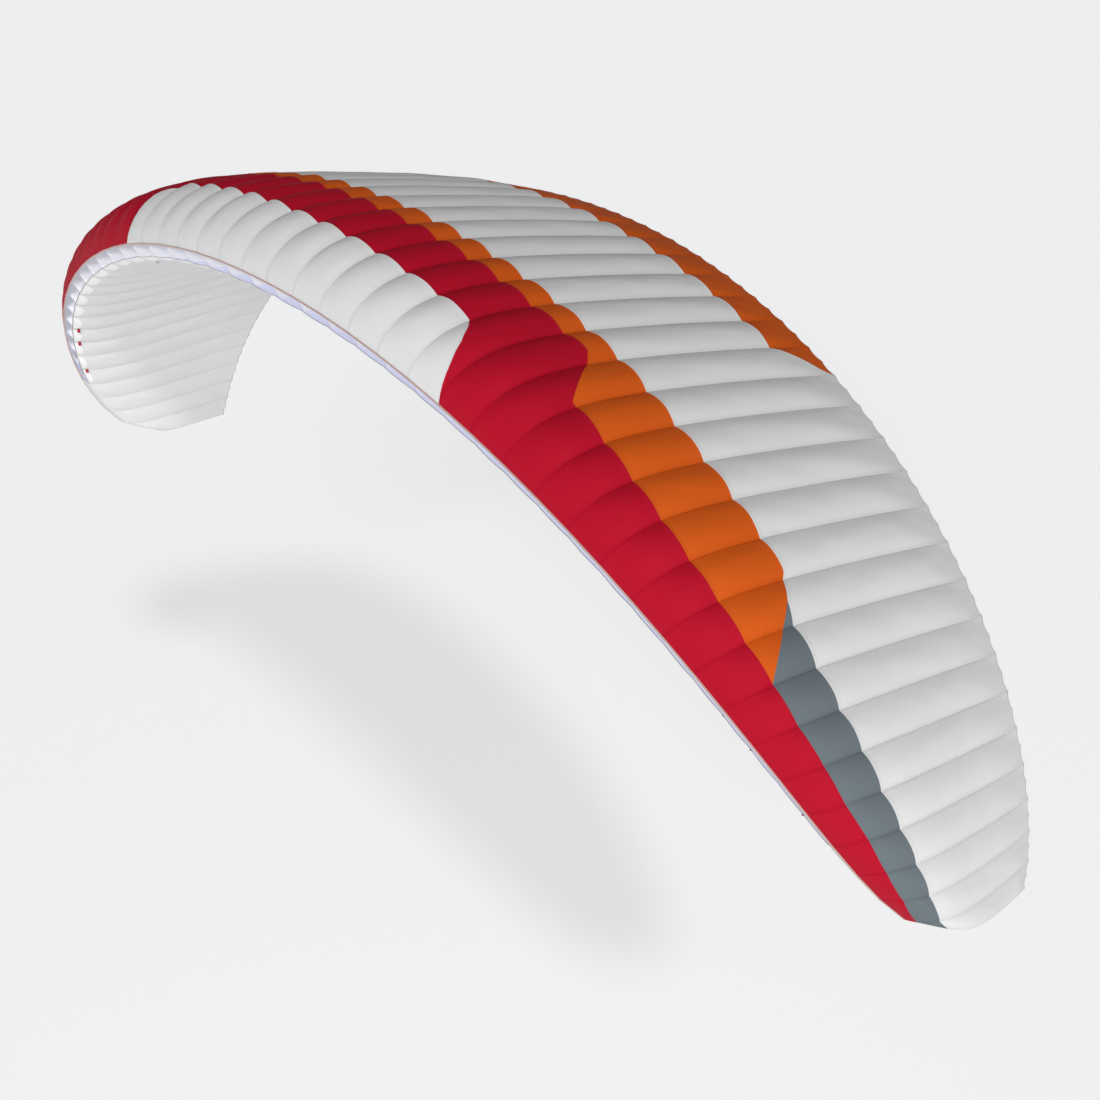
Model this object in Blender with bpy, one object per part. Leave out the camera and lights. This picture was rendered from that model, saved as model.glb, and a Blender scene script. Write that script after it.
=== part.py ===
"""Ram-air paraglider wing, inflated as it flies: 47 cells in 15 sewn bays, cloth 2 mm thick.

Frame, in metres: +X along the span towards the pilot's left tip, -Y the way the wing flies, +Z up.
The origin is on the under skin of the centre line, 30 % of the centre chord behind the nose.
Every cut is worked out from the flat plan form, one aerofoil and the arch of the span.
"""

import math

import bpy
from mathutils import Vector

# Plan form, as the wing lies flat
HALF_SPAN = 5.80
CENTRE_CHORD = 2.70
NOSE_SWEEP = 0.75  # how far the nose line runs back to the tip, as a parabola
NOSE_ROUNDING = 0.82  # and how far more where it rounds off into the tip
NOSE_ROUNDING_POWER = 5.1
TAIL_SWEEP = 0.46
TAIL_ROUNDING = 0.06
CELLS_A_SIDE = 23  # beside the centre cell
CELL_TAPER = 0.19  # cells grow narrower towards the tips

# Arch: how far a rib leans outwards at the tip, in an even part and a part that curls the tip
EVEN_LEAN = math.radians(57.3)
EVEN_LEAN_POWER = 1.065
TIP_CURL = math.radians(27.5)
TIP_CURL_POWER = 6
ARCH_STEPS = 400

# Aerofoil: each side is sqrt(x) (1 - x) times a cubic in Bernstein form, as shares of the chord
CREST = (0.476, 0.264, 0.255, 0.251)
BELLY = (0.140, 0.100, 0.070, 0.040)
TIP_FATNESS = 0.56  # how much deeper the aerofoil is, for its chord, at the tip
TWIST_POINT = 0.30  # the point of the chord that the arch is drawn through

# Cloth
SHEET = 0.0020
GAP = 0.0004  # between pieces that are sewn together
CREST_BULGE = 0.134  # height of a cell's crest over its width
BELLY_BULGE = 0.070

# Where the skins are divided from nose to tail, as shares of the chord
UPPER_STATIONS = (0.0015, 0.02, 0.07, 0.16, 0.30, 0.48, 0.68, 0.86, 1.0)
LOWER_STATIONS = (0.022, 0.07, 0.20, 0.45, 0.75, 1.0)
RIB_TAIL = 0.975  # ribs end here, where the two skins close in on them
RIB_SETBACK = 0.1  # a rib starts this far along its first stretch behind the lower lip
UPPER_PARTS_A_CELL = 3
LOWER_PARTS_A_CELL = 2
FULL_BULGE_FROM = 0.12  # share of the chord over which a cell fills out behind the lip
BULGE_FALLS_FROM = 0.70

# Bays: ribs that carry lines, counted from the pilot's right tip, and the bays between them
BAY_CELLS = (4,) + (3,) * 13 + (4,)

# Piping along the upper lip of the intakes
PIPING_RADIUS = 0.006
PIPING_SIDES = 5
PIPING_DROP = 0.0024  # from the lip's edge to the top of the piping
CLOSED_NOSE_DROP = 0.017  # from the lip's edge to the under skin of a bay with no intake

# Webbing loops under the wing: name, rib counted out from the centre, share of the chord, and sizes
TAB_COLUMNS = ("name", "rib", "chord_share", "webbing", "loop_height")
TAB_ROWS = (
    ("red_tab_{}_1", 16, 0.045, 0.020, 0.032),
    ("red_tab_{}_2", 17, 0.045, 0.020, 0.032),
    ("red_tab_{}_3", 19, 0.045, 0.020, 0.032),
    ("line_tab_{}_1", 2, 0.120, 0.014, 0.036),
    ("line_tab_{}_2", 5, 0.120, 0.014, 0.036),
    ("line_tab_{}_3", 8, 0.120, 0.014, 0.036),
)
TAB_HALF_WIDTH = 0.007
TAB_CORNER = 0.003
TAB_STAND_OFF = 0.0025  # clears the skin, which bulges down on both sides of the rib

# Colours: linear RGB, roughness
WHITE_CLOTH = ("white_cloth", (0.78, 0.78, 0.77), 0.55)
UNDER_CLOTH = ("under_cloth", (0.80, 0.80, 0.79), 0.60)
RIB_CLOTH = ("rib_cloth", (0.66, 0.67, 0.76), 0.65)
PIPING_TAPE = ("piping_tape", (0.72, 0.36, 0.22), 0.60)
RED_WEBBING = ("red_webbing", (0.42, 0.01, 0.03), 0.70)
WHITE_WEBBING = ("white_webbing", (0.74, 0.74, 0.72), 0.70)


def clear_scene():
    for obj in list(bpy.data.objects):
        bpy.data.objects.remove(obj)


def material(name, colour, roughness):
    made = bpy.data.materials.get(name) or bpy.data.materials.new(name)
    made.use_nodes = True
    shader = made.node_tree.nodes["Principled BSDF"]
    shader.inputs["Base Color"].default_value = (*colour, 1)
    shader.inputs["Roughness"].default_value = roughness
    shader.inputs["Metallic"].default_value = 0
    return made


def add_object(name, points, faces, cloth):
    mesh = bpy.data.meshes.new(name)
    mesh.from_pydata(points, [], faces)
    mesh.materials.append(material(*cloth))
    bpy.context.collection.objects.link(bpy.data.objects.new(name, mesh))


def rounding(share, power):
    return 1 - math.sqrt(max(0.0, 1 - share**power))


def nose_line(share):
    """How far the nose is behind the centre cell's nose, at a share of the half span."""
    return NOSE_SWEEP * share**2 + NOSE_ROUNDING * rounding(share, NOSE_ROUNDING_POWER)


def tail_line(share):
    return CENTRE_CHORD - TAIL_SWEEP * share**2 - TAIL_ROUNDING * rounding(share, 2)


def lean(share):
    return EVEN_LEAN * share**EVEN_LEAN_POWER + TIP_CURL * share**TIP_CURL_POWER


def arch(share):
    """(x, z) of the arched span at a share of the half span, summed in small straight steps."""
    x = z = 0.0
    step = share / ARCH_STEPS
    for count in range(ARCH_STEPS):
        angle = lean((count + 0.5) * step)
        x += math.cos(angle) * step * HALF_SPAN
        z -= math.sin(angle) * step * HALF_SPAN
    return x, z


def height(share, shape):
    """Height of the aerofoil over its chord line at a share of the chord."""
    rest = 1 - share
    terms = (rest**3, 3 * share * rest**2, 3 * share**2 * rest, share**3)
    return math.sqrt(share) * rest * sum(a * b for a, b in zip(shape, terms))


class Rib:
    """One rib's plane: where it stands, how it leans, and the aerofoil's points on it."""

    def __init__(self, place):
        """place is -CELLS_A_SIDE - 0.5 at the right tip and CELLS_A_SIDE + 0.5 at the left one."""
        side = math.copysign(1, place)
        even = abs(place) / (CELLS_A_SIDE + 0.5)
        share = even * (1 + CELL_TAPER * (1 - even**2))
        x, z = arch(share)
        angle = lean(share) * side
        self.nose = nose_line(share)
        self.chord = tail_line(share) - self.nose
        self.fatness = 1 + TIP_FATNESS * share**4
        self.across = Vector((math.cos(angle), 0, -math.sin(angle)))
        self.up = Vector((math.sin(angle), 0, math.cos(angle)))
        raised = CENTRE_CHORD * height(TWIST_POINT, BELLY)
        self.foot = Vector((x * side, -TWIST_POINT * CENTRE_CHORD, z + raised))

    def at(self, along, above):
        """A point of the rib's plane, along the chord from the nose and above the chord line."""
        return self.foot + Vector((0, self.nose + along, 0)) + self.up * above

    def outline(self, stations, shape, sign):
        """(along, above) of one skin's outer face at each station. The tail keeps room for both skins."""
        tail_room = SHEET + GAP / 2
        scale = self.chord * self.fatness
        return [
            (s * self.chord, sign * (height(s, shape) * scale + s * tail_room)) for s in stations
        ]

    def lip(self):
        return self.outline(UPPER_STATIONS[:1], CREST, 1)[0]

    def upper(self):
        return self.outline(UPPER_STATIONS, CREST, 1)

    def lower(self, closed):
        """The under skin's line. A bay with no intake carries it up to the lip."""
        line = self.outline(LOWER_STATIONS, BELLY, -1)
        if closed:
            along, above = self.lip()
            line.insert(0, (along, above - CLOSED_NOSE_DROP))
        return line


def normals(line, sign):
    """Outward normals of a line of (along, above) points, each the mean of the edges beside it."""
    edges = [
        (Vector(end) - Vector(start)).orthogonal().normalized() * sign
        for start, end in zip(line, line[1:])
    ]
    paired = zip([edges[0]] + edges, edges + [edges[-1]])
    return [(one + other).normalized() for one, other in paired]


def in_space(rib, line):
    return [rib.at(*point) for point in line]


def turned(rib, flat_normals):
    return [Vector((0, n[0], 0)) + rib.up * n[1] for n in flat_normals]


def fullness(share):
    """How full a cell stands at a share of the chord: taut at the lip and at the tail."""
    rise = math.sin(math.pi / 2 * min(1, (share - UPPER_STATIONS[0]) / FULL_BULGE_FROM))
    fall = max(0, share - BULGE_FALLS_FROM) / (1 - BULGE_FALLS_FROM)
    return max(0, rise) * (1 - fall**2)


def skin_columns(ribs, lines, sign, shares, bulge, parts):
    """Columns of (point, normal) from rib to rib, each cell filled out between its two ribs."""
    spots = [in_space(rib, line) for rib, line in zip(ribs, lines)]
    facing = [turned(rib, normals(line, sign)) for rib, line in zip(ribs, lines)]
    columns = []
    for cell in range(len(ribs) - 1):
        for part in range(parts):
            columns.append(cell_column(spots, facing, cell, part / parts, shares, bulge))
    columns.append(list(zip(spots[-1], facing[-1])))
    half_gap = GAP / 2
    columns[0] = [(point + ribs[0].across * half_gap, n) for point, n in columns[0]]
    columns[-1] = [(point - ribs[-1].across * half_gap, n) for point, n in columns[-1]]
    return columns


def cell_column(spots, facing, cell, part, shares, bulge):
    column = []
    for row, share in enumerate(shares):
        start, end = spots[cell][row], spots[cell + 1][row]
        normal = facing[cell][row].lerp(facing[cell + 1][row], part).normalized()
        crown = bulge * fullness(share) * (end - start).length * 4 * part * (1 - part)
        column.append((start.lerp(end, part) + normal * crown, normal))
    return column


def surface_normal(columns, col, row, sign):
    """Normal of the filled-out skin inside a bay. At a bay's edges the rib's own normal stays."""
    if col in (0, len(columns) - 1):
        return columns[col][row][1]
    rows = len(columns[col])
    across = columns[col + 1][row][0] - columns[col - 1][row][0]
    along = columns[col][min(row + 1, rows - 1)][0] - columns[col][max(row - 1, 0)][0]
    return across.cross(along).normalized() * sign


def halves(corner, rows, side):
    """The two triangles of a grid square, cut the same way on both faces and mirrored by side."""
    near, near_next, far, far_next = corner, corner + 1, corner + rows, corner + rows + 1
    if side > 0:
        return [(near, far, far_next), (near, far_next, near_next)]
    return [(near, far, near_next), (far, far_next, near_next)]


def sheet(name, columns, sign, cloth):
    """A closed sheet under the grid of outer points: outer face, inner face and four edges."""
    count, rows = len(columns), len(columns[0])
    outer = [columns[c][r][0] for c in range(count) for r in range(rows)]
    inner = [
        columns[c][r][0] - surface_normal(columns, c, r, sign) * SHEET
        for c in range(count)
        for r in range(rows)
    ]
    below = count * rows
    faces = []
    for c in range(count - 1):
        for r in range(rows - 1):
            for corners in halves(c * rows + r, rows, columns[c][r][0].x + columns[c + 1][r][0].x):
                faces.append(corners)
                faces.append(tuple(below + corner for corner in reversed(corners)))
    rim = [c * rows for c in range(count)]
    rim += [(count - 1) * rows + r for r in range(1, rows)]
    rim += [c * rows + rows - 1 for c in range(count - 2, -1, -1)]
    rim += list(range(rows - 2, 0, -1))
    for start, end in zip(rim, rim[1:] + rim[:1]):
        faces.append((end, start, below + start, below + end))
    if sign < 0:
        faces = [tuple(reversed(face)) for face in faces]
    add_object(name, outer + inner, faces, cloth)


def make_upper_bay(number, ribs):
    lines = [rib.upper() for rib in ribs]
    columns = skin_columns(ribs, lines, 1, UPPER_STATIONS, CREST_BULGE, UPPER_PARTS_A_CELL)
    sheet(f"upper_bay_{number:02d}", columns, 1, WHITE_CLOTH)


def make_lower_bay(number, ribs, closed):
    lines = [rib.lower(closed) for rib in ribs]
    shares = UPPER_STATIONS[: int(closed)] + LOWER_STATIONS
    columns = skin_columns(ribs, lines, -1, shares, BELLY_BULGE, LOWER_PARTS_A_CELL)
    sheet(f"lower_bay_{number:02d}", columns, -1, UNDER_CLOTH)


def make_rib(number, rib, shift):
    """A flat rib, cut to lie just inside both skins. shift moves a tip rib inside its bay."""
    inset = SHEET + GAP
    upper, lower = rib.upper(), rib.lower(False)
    upper_normals, lower_normals = normals(upper, 1), normals(lower, -1)
    upper_edge = [Vector(p) - n * inset for p, n in zip(upper, upper_normals)][1:-1]
    lower_edge = [Vector(p) - n * inset for p, n in zip(lower, lower_normals)][:-1]
    tail = Vector((RIB_TAIL * rib.chord, tail_height(rib)))
    lower_edge[0] = lower_edge[0].lerp(lower_edge[1], RIB_SETBACK)
    outline = upper_edge + [tail] + lower_edge[::-1]
    start = rib.across * (shift - SHEET / 2)
    end = start + rib.across * SHEET
    near = [rib.at(*point) + start for point in outline]
    far = [rib.at(*point) + end for point in outline]
    count = len(outline)
    faces = [tuple(range(count)), tuple(range(2 * count - 1, count - 1, -1))]
    for one in range(count):
        other = (one + 1) % count
        faces.append((other, one, count + one, count + other))
    add_object(f"load_rib_{number:02d}", near + far, faces, RIB_CLOTH)


def tail_height(rib):
    """Half way between the faceted skins where the rib ends."""
    middle = 0.0
    for line in (rib.upper(), rib.lower(False)):
        (before, start), (after, end) = line[-2:]
        middle += (start + (end - start) * (RIB_TAIL * rib.chord - before) / (after - before)) / 2
    return middle


def make_piping(ribs):
    """The piping under the upper lip, from tip to tip, with its section in each rib's plane."""
    points = []
    for rib in ribs:
        along, above = rib.lip()
        centre = above - PIPING_DROP - PIPING_RADIUS
        for side in range(PIPING_SIDES):
            angle = 2 * math.pi * side / PIPING_SIDES + math.pi / 2
            ahead, over = PIPING_RADIUS * math.cos(angle), PIPING_RADIUS * math.sin(angle)
            points.append(rib.at(along + ahead, centre + over))
    faces = [tuple(reversed(range(PIPING_SIDES)))]
    for ring in range(len(ribs) - 1):
        for side in range(PIPING_SIDES):
            one = ring * PIPING_SIDES + side
            other = ring * PIPING_SIDES + (side + 1) % PIPING_SIDES
            faces.append((one, other, other + PIPING_SIDES, one + PIPING_SIDES))
    last = (len(ribs) - 1) * PIPING_SIDES
    faces.append(tuple(last + side for side in range(PIPING_SIDES)))
    add_object("nose_piping", points, faces, PIPING_TAPE)


def tab_ring(inset, loop_height):
    """Half a loop's outline mirrored: (across, down) of six points, drawn in by an inset."""
    wide = TAB_HALF_WIDTH - inset
    corner = max(TAB_CORNER - inset, TAB_CORNER / 2)
    top, bottom = -inset, inset - loop_height
    return [
        (-wide, top),
        (-wide, bottom + corner),
        (corner - wide, bottom),
        (wide - corner, bottom),
        (wide, bottom + corner),
        (wide, top),
    ]


def make_tab(row, side_name, side):
    """A loop of webbing under a rib, its eye along the chord."""
    tab = dict(zip(TAB_COLUMNS, row))
    rib = Rib(side * (tab["rib"] - 0.5))
    shares = [s for s in LOWER_STATIONS if s <= tab["chord_share"]][-1:]
    shares += [s for s in LOWER_STATIONS if s > tab["chord_share"]][:1]
    fore, aft = (Vector(point) for point in rib.outline(shares, BELLY, -1))
    middle = fore.lerp(aft, (tab["chord_share"] - shares[0]) / (shares[1] - shares[0]))
    run = (aft - fore).normalized()
    down = Vector((run[1], -run[0]))
    along = Vector((0, run[0], 0)) + rib.up * run[1]
    out = Vector((0, down[0], 0)) + rib.up * down[1]
    root = rib.at(*middle) + out * TAB_STAND_OFF
    points = []
    for inset in (0, SHEET):
        for end in (-tab["webbing"] / 2, tab["webbing"] / 2):
            for across, above in tab_ring(inset, tab["loop_height"]):
                points.append(root + rib.across * across - out * above + along * end)
    count = len(points) // 4
    faces = []
    for one in range(count):
        other = (one + 1) % count
        rings = [(one + ring * count, other + ring * count) for ring in range(4)]
        (a, b), (c, d), (e, f), (g, h) = rings
        faces += [(a, c, d, b), (e, f, h, g), (a, b, f, e), (c, g, h, d)]
    cloth = RED_WEBBING if tab["name"].startswith("red") else WHITE_WEBBING
    add_object(tab["name"].format(side_name), points, faces, cloth)


def main():
    clear_scene()
    ribs = [Rib(count - CELLS_A_SIDE - 0.5) for count in range(2 * CELLS_A_SIDE + 2)]
    first = 0
    for number, cells in enumerate(BAY_CELLS, 1):
        closed = number in (1, len(BAY_CELLS))
        bay_ribs = ribs[first : first + cells + 1]
        make_upper_bay(number, bay_ribs)
        make_lower_bay(number, bay_ribs, closed)
        make_rib(number, ribs[first], SHEET if first == 0 else 0)
        first += cells
    make_rib(len(BAY_CELLS) + 1, ribs[-1], -SHEET)
    make_piping(ribs)
    for side_name, side in (("right", -1), ("left", 1)):
        for row in TAB_ROWS:
            make_tab(row, side_name, side)


main()
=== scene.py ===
"""Ram-air paraglider wing, inflated: its cloth, ribs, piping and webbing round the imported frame.

Frame, in metres: +X along the span towards the pilot's left tip, -Y the way the wing flies, +Z up.
The origin is on the under skin of the centre line, 30 % of the centre chord behind the nose.

Every surface is worked out from the plan form, aerofoil and arch that the frame's solids follow.
A place along the span is counted in cells from the centre line: rib k stands at place k - 0.5.
A share is a share of the chord, counted from the nose.
"""

import logging
import math
from dataclasses import dataclass, field
from enum import Enum

import bpy
import numpy as np
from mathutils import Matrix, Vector
from mathutils.geometry import delaunay_2d_cdt

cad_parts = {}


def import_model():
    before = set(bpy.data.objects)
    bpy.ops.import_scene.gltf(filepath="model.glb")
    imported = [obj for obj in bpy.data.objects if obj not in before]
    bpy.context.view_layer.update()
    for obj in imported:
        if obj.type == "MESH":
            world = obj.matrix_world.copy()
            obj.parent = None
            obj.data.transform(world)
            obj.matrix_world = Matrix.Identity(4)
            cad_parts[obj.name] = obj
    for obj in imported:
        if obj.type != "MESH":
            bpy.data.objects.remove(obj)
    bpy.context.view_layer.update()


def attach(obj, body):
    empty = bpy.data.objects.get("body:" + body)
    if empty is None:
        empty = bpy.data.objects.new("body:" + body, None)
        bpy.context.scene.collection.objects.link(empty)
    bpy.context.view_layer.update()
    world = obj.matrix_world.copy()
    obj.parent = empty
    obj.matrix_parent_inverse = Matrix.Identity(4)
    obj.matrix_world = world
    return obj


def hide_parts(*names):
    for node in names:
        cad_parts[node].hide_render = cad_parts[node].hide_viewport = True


LOG = logging.getLogger("paraglider")
BODY = "root"
ROUND_TO = 6  # decimal places of a metre at which two points are one
SHARP_BEND = math.radians(50)
INSIDE_ONLY = 1  # delaunay_2d_cdt's output type for triangles inside the outlines
SAME_SPOT = 1e-6
LIP = 0.0015  # share at which the upper skin starts
LOWER_LIP = 0.022  # share at which the under skin starts in a cell with an intake
CELLS = 47
TIP_CELLS = 4  # cells of each tip bay, which have no intake
BAYS = (TIP_CELLS, *(3,) * 13, TIP_CELLS)  # cells in each bay between load ribs

Array = np.ndarray
Triple = tuple[float, float, float]
Socket = bpy.types.NodeSocket
Material = bpy.types.Material
Piece = bpy.types.Object


class Side(Enum):
    """Which skin of the wing: the sign its surface takes above the chord line."""

    UPPER = 1
    UNDER = -1


class Dye(Enum):
    """Colours, as linear RGB."""

    WHITE = (0.80, 0.80, 0.79)
    UNDER_WHITE = (0.745, 0.74, 0.745)
    PATCH_WHITE = (0.90, 0.90, 0.90)
    RED = (0.49, 0.004, 0.023)
    ORANGE = (0.72, 0.115, 0.010)
    SLATE = (0.152, 0.184, 0.202)
    LAVENDER = (0.66, 0.67, 0.80)
    PIPING = (0.60, 0.41, 0.35)
    # Painted shade: the hem tapes' dark grey stands in for the shaded edge along the tail and the
    # lower lip.
    HEM = (0.26, 0.26, 0.275)
    RED_WEBBING = (0.42, 0.010, 0.030)
    WHITE_WEBBING = (0.74, 0.74, 0.72)
    FLOOR = (0.88, 0.88, 0.88)

    def tinted(self, factor: float = 1.0, lift: float = 0.0) -> tuple[float, ...]:
        """The colour multiplied and lifted, with an alpha of 1."""
        return (*(min(1.0, channel * factor + lift) for channel in self.value), 1.0)


class Seam(Enum):
    """Seams and edges of the panels: (rib, share) where each one changes direction."""

    NOSE = ((0.5, LIP), (24, LIP))
    INTAKE = ((0.5, LOWER_LIP), (24, LOWER_LIP))
    TAIL = ((0.5, 1.0), (24, 1.0))
    TO_RED = (
        (0.5, 0.1377), (6, 0.1454), (6.25, 0.124), (6.5, 0.088), (6.75, 0.042), (7, LIP), (24, LIP),
    )  # fmt: skip
    PAST_RED = (
        (0.5, 0.2999), (7.72, 0.3129), (8, 0.290), (8.9, 0.166), (9, 0.169), (10, 0.155),
        (11, 0.143), (12, 0.132), (13, 0.121), (14, 0.113), (15, 0.103), (16, 0.096), (17, 0.086),
        (18, 0.081), (19, 0.070), (20, 0.067), (21, 0.054), (22, 0.041), (23, 0.018), (24, 0.003),
    )  # fmt: skip
    SLATE = ((14.45, 1.0), (14.45, 0.284), (15, 0.222), (16, 0.096), (16, 0.0))
    TO_WHITE = (
        (0.5, 0.3736), (8, 0.3818), (9, 0.374), (10, 0.365), (11, 0.360), (12, 0.355),
        (13, 0.347), (13.85, 0.338), (14, 0.326), (14.5, 0.280), (15, 0.260), (16, 0.243),
        (17, 0.230), (18, 0.221), (19, 0.204), (20, 0.193), (21, 0.176), (22, 0.151), (23, 0.111),
        (24, 0.035),
    )  # fmt: skip
    TO_TAIL = ((0.5, 0.8535), (8, 0.8602), (9, 1.0), (24, 1.0))

    def share_at(self, rib: Array) -> Array:
        """Share at which this seam crosses each place, straight on the cloth between its knots.

        Args:
            rib: rib numbers, counted out from the centre, as fractions between ribs.

        Returns:
            Shares of the chord. The slate's seam stays within the coloured band.
        """
        ribs, shares = zip(*self.value)
        share = np.interp(rib, ribs, np.sqrt(shares)) ** 2
        if self is not Seam.SLATE:
            return share
        band = Seam.PAST_RED.share_at(rib), Seam.TO_WHITE.share_at(rib)
        return np.clip(share, *band)


@dataclass(frozen=True)
class PlanForm:
    """The wing as it lies flat, and the arch that its span takes in the air."""

    half_span: float = 5.80
    centre_chord: float = 2.70
    nose_sweep: float = 0.75
    nose_rounding: float = 0.82
    nose_rounding_power: float = 5.1
    tail_sweep: float = 0.46
    tail_rounding: float = 0.06
    cell_taper: float = 0.19
    even_lean: float = math.radians(57.3)
    even_lean_power: float = 1.065
    tip_curl: float = math.radians(27.5)
    tip_curl_power: float = 6.0
    arch_steps: int = 400

    @staticmethod
    def rounding(share: float, power: float) -> float:
        """How far a rounded corner has drawn back at a share of the half span."""
        return 1 - math.sqrt(max(0.0, 1 - share**power))

    def nose(self, share: float) -> float:
        """Distance of the nose behind the centre cell's nose."""
        rounded = self.nose_rounding * self.rounding(share, self.nose_rounding_power)
        return self.nose_sweep * share**2 + rounded

    def tail(self, share: float) -> float:
        """Distance of the tail behind the centre cell's nose."""
        rounded = self.tail_rounding * self.rounding(share, 2)
        return self.centre_chord - self.tail_sweep * share**2 - rounded

    def span_share(self, place: float) -> float:
        """Share of the half span at a place. Cells grow narrower towards the tips."""
        even = abs(place) / (CELLS / 2)
        return even * (1 + self.cell_taper * (1 - even**2))

    def lean(self, share: float) -> float:
        """How far a rib leans outwards, in radians."""
        even = self.even_lean * share**self.even_lean_power
        return even + self.tip_curl * share**self.tip_curl_power

    def arch(self, share: float) -> tuple[float, float]:
        """(x, z) of the arched span, summed in small straight steps."""
        step = share / self.arch_steps
        angles = [self.lean((count + 0.5) * step) for count in range(self.arch_steps)]
        x = sum(math.cos(angle) for angle in angles) * step * self.half_span
        z = -sum(math.sin(angle) for angle in angles) * step * self.half_span
        return x, z


@dataclass(frozen=True)
class Aerofoil:
    """The section of the wing. Each side is sqrt(x) (1 - x) times a cubic in Bernstein form."""

    crest: tuple[float, ...] = (0.476, 0.264, 0.255, 0.251)
    belly: tuple[float, ...] = (0.140, 0.100, 0.070, 0.040)
    tip_fatness: float = 0.56
    twist_point: float = 0.30
    tail_room: float = 0.0022
    slope_step: float = 1e-4
    closed_drop: float = 0.017  # from the lip down to the under skin in a cell with no intake

    def height(self, share: Array, side: Side) -> Array:
        """Height of one side over the chord line, as shares of the chord."""
        shape = self.crest if side is Side.UPPER else self.belly
        rest = 1 - share
        terms = (rest**3, 3 * share * rest**2, 3 * share**2 * rest, share**3)
        return np.sqrt(np.maximum(share, 0)) * rest * sum(a * b for a, b in zip(shape, terms))


class RibPlane:
    """One rib's plane: where it stands, how it leans, and the aerofoil's points on it."""

    def __init__(self, form: PlanForm, foil: Aerofoil, place: float) -> None:
        """Works the plane out from the wing's plan form and aerofoil and the rib's place."""
        side = math.copysign(1, place)
        share = form.span_share(place)
        x, z = form.arch(share)
        angle = form.lean(share) * side
        raised = form.centre_chord * float(foil.height(np.array(foil.twist_point), Side.UNDER))
        self.foil = foil
        self.nose = form.nose(share)
        self.chord = form.tail(share) - self.nose
        self.fatness = 1 + foil.tip_fatness * share**4
        self.across = np.array((math.cos(angle), 0, -math.sin(angle)))
        self.up = np.array((math.sin(angle), 0, math.cos(angle)))
        self.foot = np.array((x * side, -foil.twist_point * form.centre_chord, z + raised))

    def is_closed(self, share: Array) -> bool:
        """Whether shares on the under side run on over the place of the intake."""
        return bool(np.min(share) < LOWER_LIP - self.foil.slope_step)

    def line(self, share: Array, side: Side) -> tuple[Array, Array]:
        """(along, above) of one skin's outer face: from the nose, and above the chord line."""
        foil = self.foil
        thick = foil.height(share, side) * self.chord * self.fatness
        above = side.value * (thick + share * foil.tail_room)
        if side is Side.UNDER and self.is_closed(share):
            ends = np.array((LIP, LOWER_LIP))
            _, (top, _) = self.line(ends, Side.UPPER)
            _, (_, bottom) = self.line(ends + (LOWER_LIP, 0), Side.UNDER)  # past the intake
            cap = np.interp(share, ends, (top - foil.closed_drop, bottom))
            above = np.where(share < LOWER_LIP, cap, above)
        return share * self.chord, above

    def at(self, along: Array, above: Array) -> Array:
        """Points of the plane in space, one row each."""
        along, above = np.atleast_1d(along), np.atleast_1d(above)
        forward = np.zeros((*along.shape, 3))
        forward[..., 1] = self.nose + along
        return self.foot + forward + above[..., None] * self.up

    def normal(self, share: Array, side: Side) -> Array:
        """Outward unit normals of one skin on this plane."""
        step = self.foil.slope_step
        first = LIP if side is Side.UPPER or self.is_closed(share) else LOWER_LIP
        low = self.line(np.maximum(share - step, first), side)
        high = self.line(np.minimum(share + step, 1), side)
        rise = (high[1] - low[1]) / (high[0] - low[0])
        length = np.sqrt(1 + rise**2)
        flat = np.zeros((*share.shape, 3))
        flat[..., 1] = -rise * side.value / length
        return flat + (side.value / length)[..., None] * self.up


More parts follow.
